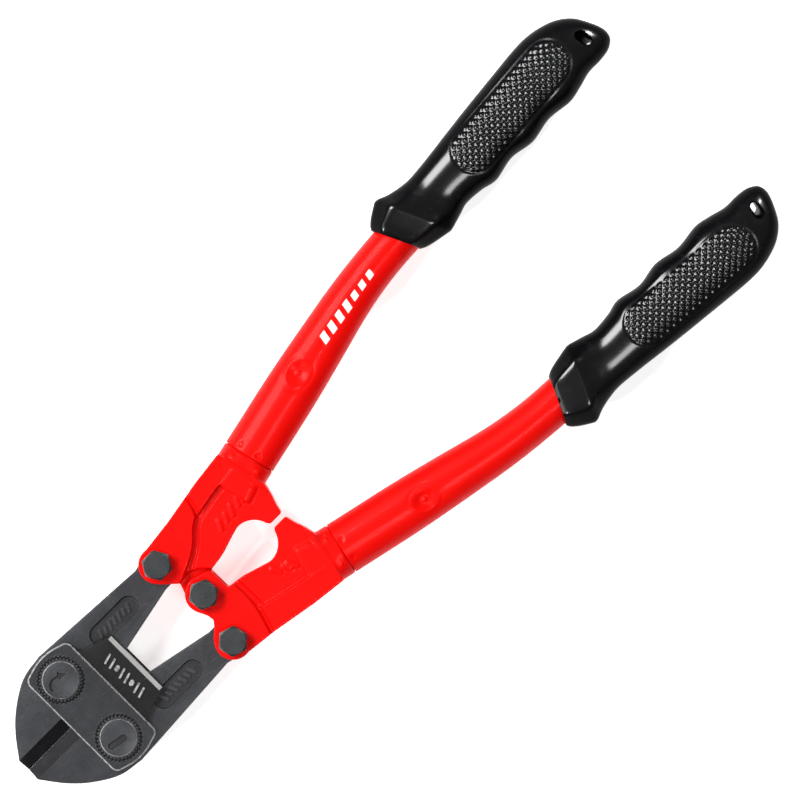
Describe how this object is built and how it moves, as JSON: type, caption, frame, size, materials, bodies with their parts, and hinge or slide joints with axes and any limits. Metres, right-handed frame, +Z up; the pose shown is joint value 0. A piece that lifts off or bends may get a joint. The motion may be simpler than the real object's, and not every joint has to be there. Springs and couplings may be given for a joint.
{
  "type": "bolt cutters",
  "caption": "Compound-lever bolt cutters: black bevelled jaws between bolted straps, red forged arms and tubular handles, black moulded grips.",
  "frame": {"origin": "bottom centre of the bounding box, with the tool lying on its back and its jaws closed", "axes": "+X along the tool from the jaws to the grips, +Y towards the upper handle, +Z up out of the tool's front"},
  "size_m": [0.3192, 0.1132, 0.0244],
  "materials": {
    "jaw_steel": "satin black oxide",
    "strap_steel": "satin black oxide, ground edges",
    "adjuster_steel": "satin black oxide",
    "bolt_steel": "black oxide with a green cast",
    "red_paint": "glossy red paint",
    "grip_rubber": "moulded, semi-gloss with a studded panel",
    "nylon": "natural nylon"
  },
  "bodies": {
    "straps": {"strap_front": "strap_steel", "strap_back": "strap_steel", "adjusting_bolt_upper": "adjuster_steel", "adjusting_bolt_lower": "adjuster_steel", "adjusting_nut_upper": "bolt_steel", "adjusting_nut_lower": "bolt_steel"},
    "jaw_upper": {"jaw_upper": "jaw_steel"},
    "jaw_lower": {"jaw_lower": "jaw_steel"},
    "handle_upper": {"arm_upper": "red_paint", "tube_upper": "red_paint", "grip_upper": "grip_rubber", "jaw_bolt_upper": "bolt_steel", "jaw_nut_upper": "bolt_steel", "jaw_nut_ring_upper": "nylon"},
    "handle_lower": {"arm_lower": "red_paint", "tube_lower": "red_paint", "grip_lower": "grip_rubber", "jaw_bolt_lower": "bolt_steel", "jaw_nut_lower": "bolt_steel", "jaw_nut_ring_lower": "nylon", "centre_bolt": "bolt_steel", "centre_nut": "bolt_steel", "centre_nut_ring": "nylon"}
  },
  "joints": [
    {"name": "handle_upper_hinge", "type": "hinge", "parent": "jaw_upper", "child": "handle_upper", "pos_m": [-0.07858, 0.01835, 0.0121], "axis": [0, 0, 1], "range_deg": [0, 56]},
    {"name": "jaw_upper_hinge", "type": "hinge", "parent": "straps", "child": "jaw_upper", "pos_m": [-0.12998, 0.01395, 0.0121], "axis": [0, 0, -1], "range_deg": [0, 9]},
    {"name": "jaw_lower_hinge", "type": "hinge", "parent": "straps", "child": "jaw_lower", "pos_m": [-0.12998, -0.01395, 0.0121], "axis": [0, 0, 1], "range_deg": [0, 9]},
    {"name": "handle_lower_hinge", "type": "hinge", "parent": "jaw_lower", "child": "handle_lower", "pos_m": [-0.07858, -0.01835, 0.0121], "axis": [0, 0, -1], "range_deg": [0, 56]}
  ],
  "couplings": [
    {"joint": "jaw_upper_hinge", "follows": "handle_upper_hinge", "ratio": 0.16},
    {"joint": "jaw_lower_hinge", "follows": "handle_upper_hinge", "ratio": 0.16},
    {"joint": "handle_lower_hinge", "follows": "handle_upper_hinge", "ratio": 1}
  ]
}
